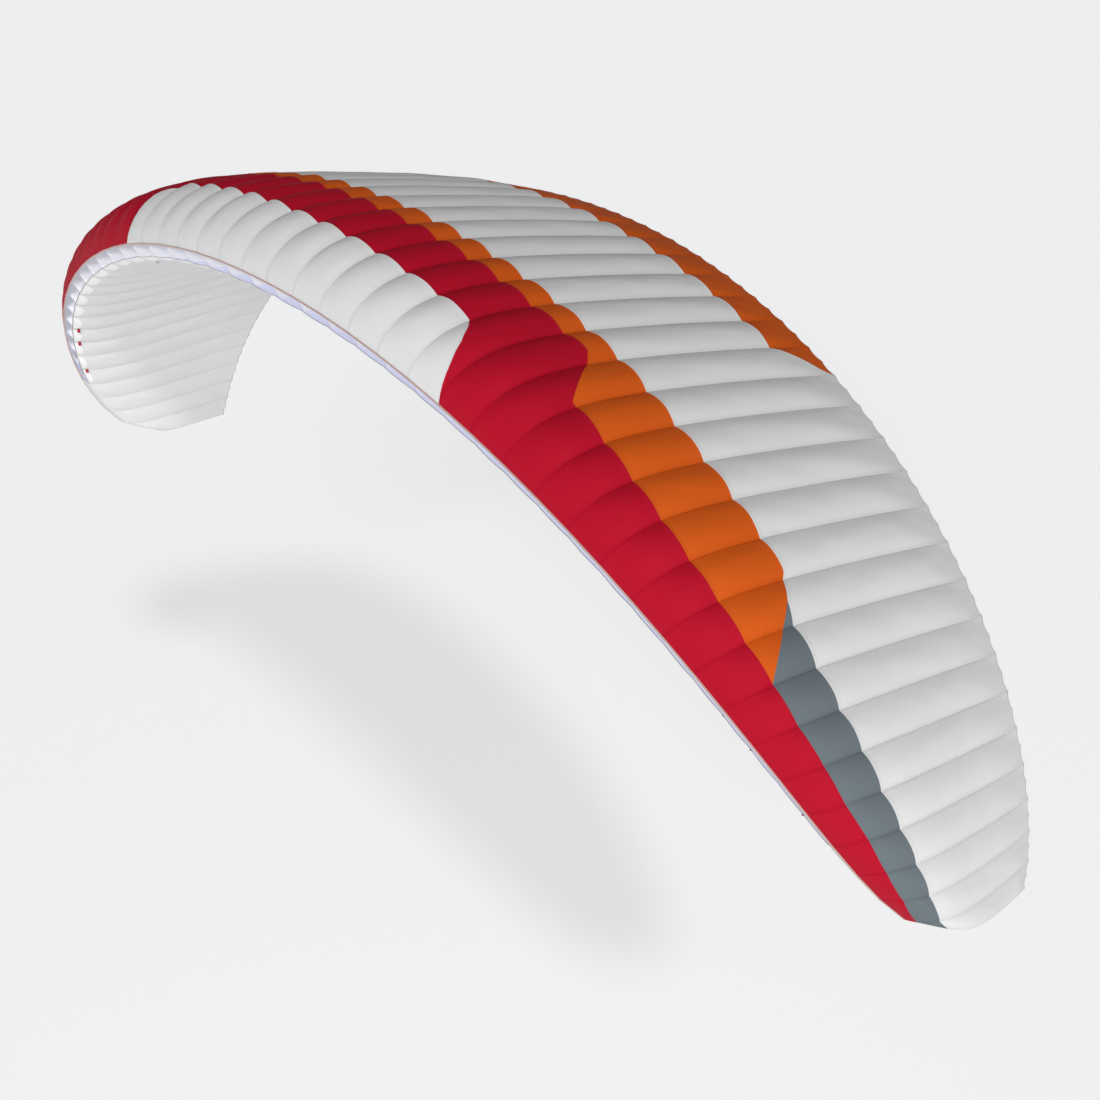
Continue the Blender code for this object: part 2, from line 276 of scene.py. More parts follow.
@dataclass(frozen=True)
class Fill:
    """How the cells of one skin stand out between their ribs."""

    side: Side
    bulge: float  # height of a cell's crest over its width
    columns: tuple[float, ...]  # where a cell is divided from rib to rib
    fall_power: float = 2.0
    ripple: float = 0.0016  # height of long soft waves of the taut cloth
    full_from: float = 0.12
    falls_from: float = 0.70
    roundness: float = 0.92  # under 1, a cell is fuller beside its ribs
    mini_rib_from: float = 0.845  # a short rib in the middle of each cell draws the tail flat
    mini_rib_full: float = 0.905
    mini_rib_draw: float = 0.30
    pair_height: float = 0.62  # each half of a cell beside its mini-rib
    tail_scallop: float = 0.012  # how far the tail is drawn forward between ribs
    scallop_from: float = 0.80
    ripple_waves: tuple[tuple[float, float], ...] = ((2.3, 1.0), (4.9, 0.55), (7.4, 0.35))
    scatter: Triple = (12.9898, 4.1414, 43.7585)  # uneven numbers that set each cell's waves apart
    slant: tuple[float, float] = (1.4, 1.7)

    @property
    def parts(self) -> Array:
        """The columns as an array."""
        return np.array(self.columns, float)

    def fullness(self, share: Array) -> Array:
        """How full a cell stands at a share of the chord: taut at the lip and at the tail."""
        rise = np.sin(math.pi / 2 * np.clip((share - LIP) / self.full_from, 0, 1))
        fall = np.maximum(0, share - self.falls_from) / (1 - self.falls_from)
        return rise * (1 - fall**self.fall_power)

    def profile(self, part: Array, share: Array) -> Array:
        """Height of the filled cell at a part of its width, 0 at a rib and about 1 at its crest."""
        whole = (4 * part * (1 - part)) ** self.roundness
        half = (2 * part) % 1
        pair = self.pair_height * (4 * half * (1 - half)) ** self.roundness
        drawn = self.mini_rib_draw * self.eased(share, self.mini_rib_from, self.mini_rib_full)
        return whole * (1 - drawn) + pair * drawn

    @staticmethod
    def eased(value: Array, start: float, end: float) -> Array:
        """A smooth step from 0 at start to 1 at end."""
        held = np.clip((value - start) / (end - start), 0, 1)
        return held * held * (3 - 2 * held)

    def waves(self, part: Array, share: Array, cell: int) -> Array:
        """Height of the long soft waves, different in every cell and nothing at the ribs."""
        total = np.zeros_like(share * part)
        by_cell, by_wave, spread = self.scatter
        for number, (turns, size) in enumerate(self.ripple_waves):
            phase = by_cell * (cell + 1) + by_wave * number + self.side.value
            start = math.sin(phase) * spread
            slant = self.slant[0] * math.sin(start * self.slant[1])
            total = total + size * np.sin(2 * math.pi * (turns * share + slant * part) + start)
        return self.ripple * total * 4 * part * (1 - part)

    def scallop(self, part: Array, share: Array) -> Array:
        """How far the cloth is drawn forward near the tail."""
        half = (2 * part) % 1
        near_tail = self.eased(share, self.scallop_from, 1)
        return self.tail_scallop * near_tail * 4 * half * (1 - half)


UPPER_COLUMNS = (
    0, 0.025, 0.07, 0.13, 0.20, 0.29, 0.39, 0.50, 0.61, 0.71, 0.80, 0.87, 0.93, 0.975, 1,
)  # fmt: skip
UNDER_COLUMNS = (0, 0.03, 0.10, 0.20, 0.34, 0.50, 0.66, 0.80, 0.90, 0.97, 1)
UPPER_FILL = Fill(Side.UPPER, 0.134, UPPER_COLUMNS, fall_power=3.0)
UNDER_FILL = Fill(Side.UNDER, 0.070, UNDER_COLUMNS, ripple=0.0024)


def laid(*columns: Array) -> Array:
    """Columns of numbers side by side, each spread over the whole grid."""
    return np.stack(np.broadcast_arrays(*columns), -1)


def run_along(points: Array) -> Array:
    """Distance along a row of points from the first one."""
    steps = np.linalg.norm(np.diff(points, axis=0), axis=-1)
    return np.concatenate(([0], np.cumsum(steps)))


@dataclass
class Wing:
    """The whole wing's ribs, and points anywhere on its two skins."""

    form: PlanForm = field(default_factory=PlanForm)
    foil: Aerofoil = field(default_factory=Aerofoil)
    planes: list[RibPlane] = field(init=False)

    def __post_init__(self) -> None:
        """Sets up every rib's plane, from the right tip to the left one."""
        places = [count - CELLS / 2 for count in range(CELLS + 1)]
        self.planes = [RibPlane(self.form, self.foil, place) for place in places]

    def rib_number(self, cell: int, part: Array) -> Array:
        """Rib numbers, counted out from the centre, at parts of a cell's width."""
        return np.abs(cell - CELLS / 2 + part) + 0.5

    def surface(self, fill: Fill, cell: int, part: Array, share: Array) -> tuple[Array, Array]:
        """Points and outward normals on one skin.

        Args:
            fill: the skin and how its cells are filled out.
            cell: the cell, counted from the right tip.
            part: parts of the cell's width, one for each column.
            share: shares of the chord, (columns, rows).

        Returns:
            Points and unit normals, each (columns, rows, 3).
        """
        near, far = self.planes[cell], self.planes[cell + 1]
        part = part[:, None]
        start, end = (plane.at(*plane.line(share, fill.side)) for plane in (near, far))
        facing = near.normal(share, fill.side) * (1 - part[..., None])
        facing = facing + far.normal(share, fill.side) * part[..., None]
        facing /= np.linalg.norm(facing, axis=-1, keepdims=True)
        width = np.linalg.norm(end - start, axis=-1)
        crown = fill.bulge * fill.fullness(share) * width * fill.profile(part, share)
        crown = crown + fill.waves(part, share, cell) * fill.fullness(share)
        points = start * (1 - part[..., None]) + end * part[..., None]
        points = points + facing * crown[..., None]
        points[..., 1] -= fill.scallop(part, share)
        return points, facing

    def width(self, cell: int) -> float:
        """Width of a cell as it lies flat."""
        return float(np.linalg.norm(self.planes[cell + 1].foot - self.planes[cell].foot))

    def maps(self, cell: int, part: Array, along: Array, to_seam: Array) -> Array:
        """Maps of a grid's corners in one cell, as Faces keeps them."""
        width = self.width(cell)
        to_rib = np.minimum(part, 1 - part)[:, None] * width
        return laid(part[:, None] * width, along, to_rib, to_seam)


@dataclass
class Faces:
    """Four-cornered faces being gathered into one mesh.

    A corner's maps are four numbers in metres: its place on the flat cloth, and its distances to
    the nearest rib seam and panel seam.
    """

    points: list[Array] = field(default_factory=list)
    maps: list[Array] = field(default_factory=list)
    materials: list[Array] = field(default_factory=list)

    def add(self, points: Array, maps: Array, material: int = 0, flip: bool = False) -> None:
        """Adds faces.

        Args:
            points: corners, (faces, 4, 3).
            maps: the corners' maps, (faces, 4, 4).
            material: the material number of all of them.
            flip: whether they are turned over.
        """
        order = [0, 3, 2, 1] if flip else [0, 1, 2, 3]
        self.points.append(points[:, order])
        self.maps.append(maps[:, order])
        self.materials.append(np.full(len(points), material, np.int32))

    def mesh(self, name: str, creases: list[Array] | None = None) -> bpy.types.Mesh:
        """One closed mesh: corners at one point are one vertex, and flattened faces are gone.

        Args:
            name: the mesh's name.
            creases: points that lie on a crease, such as the valley over a rib.

        Returns:
            The mesh, smooth but for its creases and sharp bends.
        """
        rounded = np.round(np.concatenate(self.points).reshape(-1, 3), ROUND_TO)
        spots, index = np.unique(rounded, axis=0, return_inverse=True)
        corners = index.reshape(-1, 4)
        keep = corners != np.roll(corners, -1, axis=1)
        whole = (keep.sum(1) >= 3) & (corners[:, :2] != corners[:, 2:]).all(1)
        corners, keep = corners[whole], keep[whole]
        loops = corners[keep].astype(np.int32)
        starts = np.concatenate(([0], np.cumsum(keep.sum(1))[:-1])).astype(np.int32)
        mesh = bpy.data.meshes.new(name)
        mesh.vertices.add(len(spots))
        mesh.vertices.foreach_set("co", spots.astype(np.float32).ravel())
        mesh.loops.add(len(loops))
        mesh.loops.foreach_set("vertex_index", loops)
        mesh.polygons.add(len(starts))
        mesh.polygons.foreach_set("loop_start", starts)
        mesh.polygons.foreach_set("material_index", np.concatenate(self.materials)[whole])
        maps = np.concatenate(self.maps)[whole][keep].astype(np.float32)
        for layer, values in (("weave", maps[:, :2]), ("seams", maps[:, 2:])):
            mesh.uv_layers.new(name=layer).data.foreach_set("uv", values.ravel())
        mesh.update(calc_edges=True)
        mesh.shade_smooth()
        mesh.set_sharp_from_angle(angle=SHARP_BEND)
        if creases:
            self.sharpen(mesh, spots, np.concatenate(creases).reshape(-1, 3))
        return mesh

    @staticmethod
    def sharpen(mesh: bpy.types.Mesh, spots: Array, creases: Array) -> None:
        """Marks the edges whose two ends both lie on a crease as sharp."""
        marked = {tuple(point) for point in np.round(creases, ROUND_TO)}
        on_crease = np.array([tuple(spot) in marked for spot in spots])
        ends = np.empty(len(mesh.edges) * 2, np.int32)
        mesh.edges.foreach_get("vertices", ends)
        sharp = np.empty(len(mesh.edges), bool)
        flags = mesh.attributes["sharp_edge"].data
        flags.foreach_get("value", sharp)
        flags.foreach_set("value", sharp | on_crease[ends.reshape(-1, 2)].all(1))


def add_object(name: str, data: bpy.types.ID) -> Piece:
    """Adds an object to the scene."""
    made = bpy.data.objects.new(name, data)
    bpy.context.scene.collection.objects.link(made)
    return made


def place_piece(mesh: bpy.types.Mesh, finishes: list[Material]) -> Piece:
    """Puts a mesh into the scene as a piece of the wing.

    Args:
        mesh: its mesh, which gives it its name.
        finishes: its materials, in the order of the mesh's material numbers.

    Returns:
        The piece, riding on the wing's only body.
    """
    for finish in finishes:
        mesh.materials.append(finish)
    piece = add_object(mesh.name, mesh)
    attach(piece, BODY)
    LOG.info("%s: %d faces", mesh.name, len(mesh.polygons))
    return piece


@dataclass
class NodeSheet:
    """A small helper that places and links the nodes of a material or a world."""

    owner: Material | bpy.types.World

    def __post_init__(self) -> None:
        """Starts with the nodes that a new material or world has."""
        self.owner.use_nodes = True
        self.tree = self.owner.node_tree

    def feed(self, value: object, socket: Socket) -> None:
        """Links a socket, or sets a plain value on it."""
        if isinstance(value, Socket):
            self.tree.links.new(value, socket)
        else:
            socket.default_value = value

    def node(self, kind: str, inputs: dict, output: int | str = 0, **settings: object) -> Socket:
        """Adds a node.

        Args:
            kind: the node's type.
            inputs: a socket or a plain value for each input, by its name or number.
            output: the name or number of the output wanted.
            settings: the node's own settings.

        Returns:
            That output.
        """
        made = self.tree.nodes.new(kind)
        for name, value in settings.items():
            setattr(made, name, value)
        for key, value in inputs.items():
            self.feed(value, made.inputs[key])
        return made.outputs[output]

    def finish(self, **values: object) -> Material:
        """Feeds the shader's inputs, with "_" for a space in a name, and returns the material."""
        shader = self.tree.nodes["Principled BSDF"]
        for name, value in values.items():
            self.feed(value, shader.inputs[name.replace("_", " ")])
        return self.owner

    def maths(self, operation: str, *values: object) -> Socket:
        """The result of one step of arithmetic."""
        return self.node("ShaderNodeMath", dict(enumerate(values)), operation=operation)

    def times(self, *values: object) -> Socket:
        """The product of two numbers."""
        return self.maths("MULTIPLY", *values)

    def off(self, value: object, middle: float) -> Socket:
        """How far a number is from another."""
        return self.maths("ABSOLUTE", self.maths("SUBTRACT", value, middle))

    def turn(self, value: object, pitch: float) -> Socket:
        """How far a number is from the middle of its pitch, which repeats."""
        return self.off(self.maths("FRACT", self.times(value, 1 / pitch)), 0.5)

    def eased(self, value: object, start: float, end: float) -> Socket:
        """A smooth step from 0 at start to 1 at end."""
        inputs = {"Value": value, "From Min": start, "From Max": end}
        return self.node("ShaderNodeMapRange", inputs, interpolation_type="SMOOTHSTEP")

    def near(self, value: object, start: float, end: float) -> Socket:
        """A smooth step from 1 at start down to 0 at end."""
        return self.maths("SUBTRACT", 1.0, self.eased(value, start, end))

    def mixed(self, share: object, first: object, second: object) -> Socket:
        """A colour mixed from two."""
        return self.node("ShaderNodeMix", {0: share, 6: first, 7: second}, 2, data_type="RGBA")

    def noise(self, vector: object, scale: float, detail: float) -> Socket:
        """Grey noise of a scale."""
        inputs = {"Vector": vector, "Scale": scale, "Detail": detail}
        return self.node("ShaderNodeTexNoise", inputs)

    def parts(self, vector: object) -> tuple[Socket, ...]:
        """The three numbers of a vector."""
        first = self.node("ShaderNodeSeparateXYZ", {0: vector})
        return tuple(first.node.outputs)

    def scaled(self, vector: object, scale: Triple) -> Socket:
        """A vector multiplied along each axis."""
        return self.node("ShaderNodeVectorMath", {0: vector, 1: scale}, operation="MULTIPLY")

    def bump(self, height: Socket, distance: float, strength: float, **below: Socket) -> Socket:
        """A bumped normal, on top of another if one is given as Normal."""
        inputs = {"Height": height, "Distance": distance, "Strength": strength, **below}
        return self.node("ShaderNodeBump", inputs)

    def uv(self, layer: str) -> Socket:
        """A place in a texture layer."""
        return self.node("ShaderNodeUVMap", {}, uv_map=layer)

    def where(self) -> Socket:
        """The place on the object."""
        return self.node("ShaderNodeTexCoord", {}, "Object")


@dataclass(frozen=True)
class RipstopCloth:
    """Coated nylon: a fine weave with a grid of thick threads, puckered and stitched at seams."""

    name: str
    dye: Dye
    painted_glow: float = 0.0  # painted glow: a constant emission that stands in for light coming through the cloth from outside
    thread_lift: float = 0.06  # how much lighter the thick threads are
    grid_share: float = 0.5  # how much of that shows on the grid, and on the stitches
    stitch_share: float = 0.35
    thread_pale: float = 0.01
    roughness: float = 0.64
    rough_range: float = 0.12
    specular: float = 0.08
    thread_gap: float = 0.005
    thread_rise: tuple[float, float] = (0.36, 0.48)
    stain: float = 0.05  # how much the colour varies from place to place
    handled: float = 0.10  # how much wear shows near the seams
    handled_tone: float = 0.6
    pucker_reach: float = 0.030
    painted_shade_reach: float = 0.018  # painted shade: how far each side of a rib seam is darkened, standing in for the shadow in the valley over it
    # how dark that painted shade gets at the seam, as a share of the dye
    painted_seam_shade: float = 0.88
    stitch_gap: float = 0.004  # from the rib seam to the stitches
    stitch_pitch: float = 0.004
    stitch_edge: tuple[float, float] = (0.0003, 0.0007)
    stitch_rise: tuple[float, float] = (0.42, 0.36)
    pucker_scale: Triple = (9, 40, 1)
    crease_scale: Triple = (1.0, 0.45, 1.0)

    def grid(self, sheet: NodeSheet, x: Socket, y: Socket) -> Socket:
        """Height of the thick threads, which cross in a square grid."""
        turns = (sheet.turn(value, self.thread_gap) for value in (x, y))
        return sheet.maths("MAXIMUM", *(sheet.eased(turn, *self.thread_rise) for turn in turns))

    def stitches(self, sheet: NodeSheet, rib: Socket, y: Socket) -> Socket:
        """A dashed line of thread beside each rib seam."""
        line = sheet.near(sheet.off(rib, self.stitch_gap), *self.stitch_edge)
        return sheet.times(line, sheet.eased(sheet.turn(y, self.stitch_pitch), *self.stitch_rise))

    def make(self) -> Material:
        """Builds the material."""
        sheet = NodeSheet(bpy.data.materials.new(self.name))
        weave, where = sheet.uv("weave"), sheet.where()
        x, y, _ = sheet.parts(weave)
        rib, panel, _ = sheet.parts(sheet.uv("seams"))
        grid, stitch = self.grid(sheet, x, y), self.stitches(sheet, rib, y)
        near = (sheet.near(gap, 0.0, self.pucker_reach) for gap in (rib, panel))
        near = sheet.maths("MAXIMUM", *near)
        clouds = sheet.noise(where, scale=1.6, detail=3.0)
        worn = sheet.times(near, sheet.noise(where, scale=9.0, detail=4.0))
        worn = sheet.times(worn, self.handled)
        lighter = self.dye.tinted(1 + self.thread_lift, self.thread_pale)
        colour = sheet.mixed(clouds, self.dye.tinted(), self.dye.tinted(1 - 2 * self.stain))
        colour = sheet.mixed(sheet.times(grid, self.grid_share), colour, lighter)
        colour = sheet.mixed(sheet.times(stitch, self.stitch_share), colour, lighter)
        colour = sheet.mixed(worn, colour, self.dye.tinted(self.handled_tone))
        # Painted shade: the colour darkens towards each rib seam, standing in for the shadow in the
        # valley there.
        painted_valley_shade = sheet.near(rib, 0.0, self.painted_shade_reach)
        colour = sheet.mixed(painted_valley_shade, colour, self.dye.tinted(self.painted_seam_shade))
        creases = sheet.noise(sheet.scaled(where, self.crease_scale), scale=7.0, detail=3.0)
        puckers = sheet.noise(sheet.scaled(weave, self.pucker_scale), scale=1.0, detail=2.0)
        threads = sheet.maths("ADD", grid, stitch)
        fine = sheet.noise(weave, scale=950.0, detail=2.0)
        normal = sheet.bump(creases, distance=0.012, strength=0.22)
        puckers = sheet.times(puckers, near)
        normal = sheet.bump(puckers, distance=0.006, strength=0.55, Normal=normal)
        normal = sheet.bump(threads, distance=0.0003, strength=0.5, Normal=normal)
        normal = sheet.bump(fine, distance=0.0001, strength=0.4, Normal=normal)
        return sheet.finish(
            Base_Color=colour,
            Roughness=sheet.maths("ADD", sheet.times(clouds, self.rough_range), self.roughness),
            Normal=normal,
            # Painted glow: the emission stands in for light shining through the cloth, and it glows
            # whatever the lamps do.
            Emission_Color=self.dye.tinted(),
            Emission_Strength=self.painted_glow,
            Specular_IOR_Level=self.specular,
        )


@dataclass(frozen=True)
class WovenTape:
    """Webbing or binding tape: slanted rows of thick yarn across its width."""

    name: str
    dye: Dye
    row_pitch: float = 0.0022
    yarn_pitch: float = 0.0016
    yarn_height: float = 0.25  # over the height of a row
    slant_yarns: float = 2.5  # yarns after which the slant turns back
    # painted shade in the grooves and painted light on the ridges of the rows, following their bump
    painted_row_shading: tuple[float, float] = (0.62, 1.12)
    cloud_share: float = 0.3
    sheen: float = 0.2
    roughness: float = 0.65
    rough_range: float = 0.1

    def make(self) -> Material:
        """Builds the material."""
        sheet = NodeSheet(bpy.data.materials.new(self.name))
        x, y, _ = sheet.parts(sheet.uv("weave"))
        zigzag = sheet.maths("PINGPONG", x, self.slant_yarns * self.yarn_pitch)
        slanted = sheet.times(sheet.maths("ADD", y, zigzag), 2 * math.pi / self.row_pitch)
        rows = sheet.times(sheet.maths("ADD", sheet.maths("SINE", slanted), 1.0), 0.5)
        yarns = sheet.maths("SINE", sheet.times(x, 2 * math.pi / self.yarn_pitch))
        clouds = sheet.noise(sheet.where(), scale=60.0, detail=3.0)
        # Painted shade and light: the rows darken where the bump is low and lighten where it is
        # high.
        colour = sheet.mixed(rows, *(self.dye.tinted(tone) for tone in self.painted_row_shading))
        height = sheet.maths("ADD", rows, sheet.times(yarns, self.yarn_height))
        return sheet.finish(
            Base_Color=sheet.mixed(
                sheet.times(clouds, self.cloud_share), colour, self.dye.tinted()
            ),
            Roughness=sheet.maths("ADD", sheet.times(clouds, self.rough_range), self.roughness),
            Normal=sheet.bump(height, distance=0.0004, strength=0.6),
            Sheen_Weight=self.sheen,
        )


class Finishes:
    """Every finish of the wing, made once."""

    def __init__(self) -> None:
        """Makes the materials."""
        self.cloth = {
            dye: RipstopCloth(f"ripstop_{dye.name.lower()}", dye).make()
            for dye in (
                Dye.WHITE, Dye.UNDER_WHITE, Dye.PATCH_WHITE, Dye.RED, Dye.ORANGE, Dye.SLATE,
            )
        }  # fmt: skip
        # The lining and the ribs carry a painted glow, standing in for light through the cloth.
        self.lining = RipstopCloth("nose_lining", Dye.LAVENDER, painted_glow=0.36, thread_lift=0.03).make()
        self.rib = RipstopCloth("rib_cloth_white", Dye.WHITE, painted_glow=0.12).make()
        self.tape = {
            dye: WovenTape(f"woven_{dye.name.lower()}", dye).make()
            for dye in (Dye.PIPING, Dye.HEM, Dye.RED_WEBBING, Dye.WHITE_WEBBING)
        }


@dataclass(frozen=True)
class PanelCut:
    """Where one colour panel of a skin lies, and what it is made of."""

    name: str
    start: Seam
    end: Seam
    rows: int
    dye: Dye
    stands_for: tuple[str, ...] = ()
    cells: range = range(CELLS)

    @property
    def slot(self) -> str:
        """The record's material slot of its cloth, named like its dye."""
        return self.dye.name.split("_")[0].lower() + "_cloth"


@dataclass
class ThinSheet:
    """A thin sheet over a grid of points, (columns, rows, 3)."""

    outer: Array
    inner: Array
    maps: Array
    turned: bool = False

    @staticmethod
    def corners(values: Array) -> Array:
        """The four corners of every grid square, (squares, 4, size)."""
        a, b, c, d = values[:-1, :-1], values[1:, :-1], values[1:, 1:], values[:-1, 1:]
        return np.stack((a, b, c, d), 2).reshape(-1, 4, values.shape[-1])

    def add_to(
        self, faces: Faces, lined: Array | None = None, first: bool = True, last: bool = True
    ) -> None:
        """Adds the outer and the inner face and the free rims.

        Args:
            faces: where they go.
            lined: whether each grid point's inner face is lining. None means nowhere.
            first: whether the rim along the first column is free.
            last: whether the rim along the last column is free.
        """
        maps, inner = self.corners(self.maps), self.corners(self.inner)
        faces.add(self.corners(self.outer), maps, 0, self.turned)
        is_lined = np.zeros(len(inner), bool)
        if lined is not None:
            is_lined = self.corners(lined[..., None])[..., 0].all(1)
        for material, chosen in enumerate((~is_lined, is_lined)):
            faces.add(inner[chosen], maps[chosen], material, not self.turned)
        rims = [(np.s_[:, 0], True), (np.s_[:, -1], False)]
        rims += [(np.s_[0, :], False)] if first else []
        rims += [(np.s_[-1, :], True)] if last else []
        for where, backwards in rims:
            outer, inner, maps = self.outer[where], self.inner[where], self.maps[where]
            quads = np.stack((outer[:-1], outer[1:], inner[1:], inner[:-1]), 1)
            maps = np.stack((maps[:-1], maps[1:], maps[1:], maps[:-1]), 1)
            faces.add(quads, maps, 0, backwards != self.turned)


@dataclass
class Skin:
    """One skin of the wing, sewn from colour panels that share their seams."""

    wing: Wing
    fill: Fill
    finishes: Finishes
    thickness: float = 0.0012
    lining_to: float = 0.35  # the lining shows inside as far as this share
    least_height: float = 0.0008  # share under which a panel is nothing in a cell
    table_steps: int = 300

    def shares(self, cut: PanelCut, cell: int) -> Array:
        """Shares of a panel's grid in one cell, (columns, rows), closer together at the nose."""
        rib = self.wing.rib_number(cell, self.fill.parts)
        start, end = np.sqrt(cut.start.share_at(rib)), np.sqrt(cut.end.share_at(rib))
        steps = np.linspace(0, 1, cut.rows + 1)
        return (start[:, None] + (np.maximum(start, end) - start)[:, None] * steps) ** 2

    def along(self, cell: int, share: Array) -> Array:
        """Metres along the cloth from the nose, (columns, rows)."""
        table = np.linspace(0, 1, self.table_steps) ** 2
        lengths = []
        for plane in self.wing.planes[cell : cell + 2]:
            ahead, above = plane.line(table, self.fill.side)
            steps = np.hypot(np.diff(ahead), np.diff(above))
            lengths.append(np.interp(share, table, np.concatenate(([0], np.cumsum(steps)))))
        part = self.fill.parts[:, None]
        return lengths[0] * (1 - part) + lengths[1] * part

    def has(self, cut: PanelCut, cell: int) -> bool:
        """Whether a panel has any height in a cell."""
        if cell not in cut.cells:
            return False
        share = self.shares(cut, cell)
        return float(np.max(share[:, -1] - share[:, 0])) > self.least_height

    def add_cell(self, faces: Faces, cut: PanelCut, cell: int) -> tuple[Array, float, Array]:
        """Adds one cell of a panel, with the rims that are free.

        Args:
            faces: where it goes.
            cut: the panel.
            cell: the cell, counted from the right tip.

        Returns:
            The points over its two ribs, its width, and the panel's lengths in it.
        """
        part, share = self.fill.parts, self.shares(cut, cell)
        outer, facing = self.wing.surface(self.fill, cell, part, share)
        inner, along = outer - facing * self.thickness, self.along(cell, share)
        to_seam = np.minimum(along - along[:, :1], along[:, -1:] - along)
        maps = self.wing.maps(cell, part, along, to_seam)
        free = [not self.has(cut, beside) for beside in (cell - 1, cell + 1)]
        sheet = ThinSheet(outer, inner, maps, self.fill.side is Side.UNDER)
        sheet.add_to(faces, share < self.lining_to, *free)
        return outer[[0, -1]].reshape(-1, 3), self.wing.width(cell), along[:, -1] - along[:, 0]

    def make_panel(self, cut: PanelCut) -> Piece:
        """Builds one panel across all of its cells."""
        faces = Faces()
        cells = [cell for cell in range(CELLS) if self.has(cut, cell)]
        creases, widths, lengths = zip(*(self.add_cell(faces, cut, cell) for cell in cells))
        finishes = [self.finishes.cloth[cut.dye], self.finishes.lining]
        piece = place_piece(faces.mesh(cut.name, creases), finishes)
        if cut.stands_for:
            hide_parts(*cut.stands_for)
        return piece


UPPER_BAYS, UNDER_BAYS = (
    tuple(f"{name}_bay_{number + 1:02d}" for number in range(len(BAYS)))
    for name in ("upper", "lower")
)
RIGHT_TIP, LEFT_TIP = range(TIP_CELLS), range(CELLS - TIP_CELLS, CELLS)
OPEN_CELLS = range(TIP_CELLS, CELLS - TIP_CELLS)
RIGHT_HALF, LEFT_HALF = range(CELLS // 2), range(CELLS // 2 + 1, CELLS)
UPPER_PANELS = (
    PanelCut("upper_panel_white", Seam.TO_WHITE, Seam.TO_TAIL, 30, Dye.WHITE, UPPER_BAYS),
    PanelCut("upper_panel_white_nose", Seam.NOSE, Seam.TO_RED, 16, Dye.WHITE),
    PanelCut("upper_panel_red", Seam.TO_RED, Seam.PAST_RED, 18, Dye.RED),
    PanelCut("upper_panel_orange", Seam.PAST_RED, Seam.SLATE, 12, Dye.ORANGE),
    PanelCut("upper_panel_slate_right", Seam.SLATE, Seam.TO_WHITE, 12, Dye.SLATE, (), RIGHT_HALF),
    PanelCut("upper_panel_slate_left", Seam.SLATE, Seam.TO_WHITE, 12, Dye.SLATE, (), LEFT_HALF),
    PanelCut("upper_panel_orange_tail", Seam.TO_TAIL, Seam.TAIL, 12, Dye.ORANGE),
)
UNDER_PANELS = tuple(
    PanelCut(name, start, Seam.TAIL, rows, Dye.UNDER_WHITE, stands_for, cells)
    for name, start, rows, stands_for, cells in (
        ("under_panel", Seam.INTAKE, 56, UNDER_BAYS[1:-1], OPEN_CELLS),
        ("under_tip_right", Seam.NOSE, 60, UNDER_BAYS[:1], RIGHT_TIP),
        ("under_tip_left", Seam.NOSE, 60, UNDER_BAYS[-1:], LEFT_TIP),
    )
)
SEAM_TAPES = (
    (Seam.TO_RED, "seam_tape_white_to_red", Dye.WHITE),
    (Seam.PAST_RED, "seam_tape_red_to_next", Dye.RED),
    (Seam.TO_WHITE, "seam_tape_to_white", Dye.WHITE),
    (Seam.TO_TAIL, "seam_tape_to_tail", Dye.WHITE),
)


@dataclass
class SeamTape:
    """A narrow tape sewn over the seam between two colour panels of the upper skin."""

    wing: Wing
    seam: Seam
    name: str
    half_width: float = 0.0045
    lift: float = 0.0012
    sink: float = 0.0004
    least_share: float = 0.004
    most_share: float = 0.985
    nose_slope: float = 0.24  # slope of the skin over the root of the share
    rows: tuple[float, ...] = (-1, -0.6, 0, 0.6, 1)
    row_lifts: tuple[float, ...] = (0.2, 0.8, 1, 0.8, 0.2)
    to_edge: tuple[float, ...] = (0, 0.4, 1, 0.4, 0)

    def make(self, finish: Material) -> Piece:
        """Builds the tape along every stretch of the seam that is clear of the lip and the tail."""
        faces, creases, wing, part = Faces(), [], self.wing, UPPER_FILL.parts
        for cell in range(CELLS):
            middle = self.seam.share_at(wing.rib_number(cell, part))
            if middle.min() < self.least_share or middle.max() > self.most_share:
                continue
            chord = (wing.planes[cell].chord + wing.planes[cell + 1].chord) / 2
            reach = self.half_width / (chord * np.hypot(1, self.nose_slope / np.sqrt(middle)))
            share = middle[:, None] + reach[:, None] * np.array(self.rows)
            points, facing = wing.surface(UPPER_FILL, cell, part, share)
            lift = np.array(self.row_lifts)[:, None] * self.lift
            outer, inner = points + facing * lift, points - facing * self.sink
            to_edge = self.half_width * np.array(self.to_edge)
            maps = wing.maps(cell, part, share * chord, to_edge)
            ThinSheet(outer, inner, maps).add_to(faces)
            creases.append(outer[[0, -1]].reshape(-1, 3))
        return place_piece(faces.mesh(self.name, creases), [finish])


